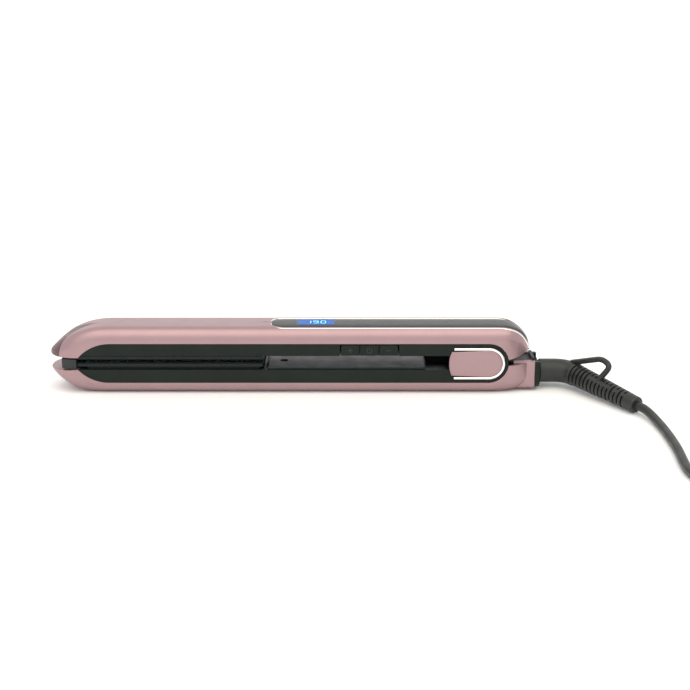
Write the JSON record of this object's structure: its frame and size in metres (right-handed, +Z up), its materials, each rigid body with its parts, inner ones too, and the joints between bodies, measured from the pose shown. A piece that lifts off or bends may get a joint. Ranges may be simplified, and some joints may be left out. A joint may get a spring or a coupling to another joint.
{
  "type": "flat iron",
  "caption": "Slim flat iron with hinged arms, floating heated plates, side buttons, a rear lock and a swivel cord with a two-pin plug.",
  "frame": {"origin": "centre of the iron's footprint on the table it lies on, without the cord", "axes": "+X from the plate tips to the cord end, +Y across the arms away from the buttons, +Z up"},
  "size_m": [0.4396, 0.1993, 0.04],
  "materials": {
    "satin_pink": "satin metallic rose paint",
    "black_plastic": "satin",
    "dark_plastic": "matte",
    "grey_plastic": "matte grey",
    "steel": "plain",
    "chrome_trim": "polished",
    "gloss_black": "gloss",
    "display": "backlit window",
    "board": "solder mask",
    "contacts": "plain",
    "plate_coating": "ceramic coating on aluminium",
    "heater_ceramic": "ceramic",
    "carrier_plastic": "heat resistant",
    "cord_rubber": "satin flexible sheath",
    "tie_plastic": "soft strap",
    "pin_brass": "nickel plated brass"
  },
  "bodies": {
    "lower_arm": {"lower_shell": "satin_pink", "lower_housing": "black_plastic", "lower_nose_block": "dark_plastic", "lower_handle_cover": "grey_plastic", "lower_cover_screw": "steel", "hinge_pin": "steel", "hinge_washers": "steel", "hinge_spring": "steel", "hinge_cover_near": "satin_pink", "hinge_cover_far": "satin_pink", "hinge_trim_near": "chrome_trim", "hinge_trim_far": "chrome_trim", "cord_bushing": "black_plastic", "power_board": "board", "swivel_contacts": "contacts", "lower_plate_springs": "steel", "cord_run": "cord_rubber", "cord_coil": "cord_rubber", "cord_tail": "cord_rubber", "cord_tie": "tie_plastic", "plug_body": "cord_rubber", "plug_pins": "pin_brass"},
    "lower_plate_float": {"lower_plate": "plate_coating", "lower_heater": "heater_ceramic", "lower_plate_carrier": "carrier_plastic", "lower_thermistor": "carrier_plastic"},
    "upper_arm": {"upper_shell": "satin_pink", "upper_housing": "black_plastic", "upper_handle_cover": "grey_plastic", "upper_cover_screws": "steel", "top_panel": "gloss_black", "panel_trim": "chrome_trim", "display_module": "display", "control_board": "board", "tact_switches": "dark_plastic", "upper_plate_springs": "steel"},
    "upper_plate_float": {"upper_plate": "plate_coating", "upper_heater": "heater_ceramic", "upper_plate_carrier": "carrier_plastic", "upper_thermistor": "carrier_plastic"},
    "power_key": {"power_button": "black_plastic"},
    "plus_key": {"plus_button": "black_plastic"},
    "minus_key": {"minus_button": "black_plastic"},
    "lock": {"lock_slider": "grey_plastic"},
    "cord_swivel": {"cord_boot": "cord_rubber", "slip_rings": "contacts", "hanging_loop": "cord_rubber"}
  },
  "joints": [
    {"name": "arm_hinge", "type": "hinge", "parent": "lower_arm", "child": "upper_arm", "pos_m": [0.1146, 0, 0.0189], "axis": [0, 1, 0], "range_deg": [0, 10], "deforming": ["hinge_spring"]},
    {"name": "lower_plate_slide", "type": "slide", "parent": "lower_arm", "child": "lower_plate_float", "axis": [0, 0, 1], "range_m": [-0.001, 0], "stiffness_N_per_m": 1500, "springref_m": 0.002, "deforming": ["lower_plate_springs"]},
    {"name": "upper_plate_slide", "type": "slide", "parent": "upper_arm", "child": "upper_plate_float", "axis": [0, 0, 1], "range_m": [0, 0.001], "stiffness_N_per_m": 1500, "springref_m": -0.002, "deforming": ["upper_plate_springs"]},
    {"name": "power_press", "type": "slide", "parent": "upper_arm", "child": "power_key", "axis": [0, 1, 0], "range_m": [0, 0.0006], "stiffness_N_per_m": 100, "springref_m": -0.002},
    {"name": "plus_press", "type": "slide", "parent": "upper_arm", "child": "plus_key", "axis": [0, 1, 0], "range_m": [0, 0.0006], "stiffness_N_per_m": 100, "springref_m": -0.002},
    {"name": "minus_press", "type": "slide", "parent": "upper_arm", "child": "minus_key", "axis": [0, 1, 0], "range_m": [0, 0.0006], "stiffness_N_per_m": 100, "springref_m": -0.002},
    {"name": "lock_slide", "type": "slide", "parent": "lower_arm", "child": "lock", "axis": [1, 0, 0], "range_m": [0, 0.0025]},
    {"name": "cord_turn", "type": "hinge", "parent": "lower_arm", "child": "cord_swivel", "pos_m": [0.146, 0, 0.0096], "axis": [-1, 0, 0], "continuous": true, "deforming": ["cord_run"]}
  ]
}
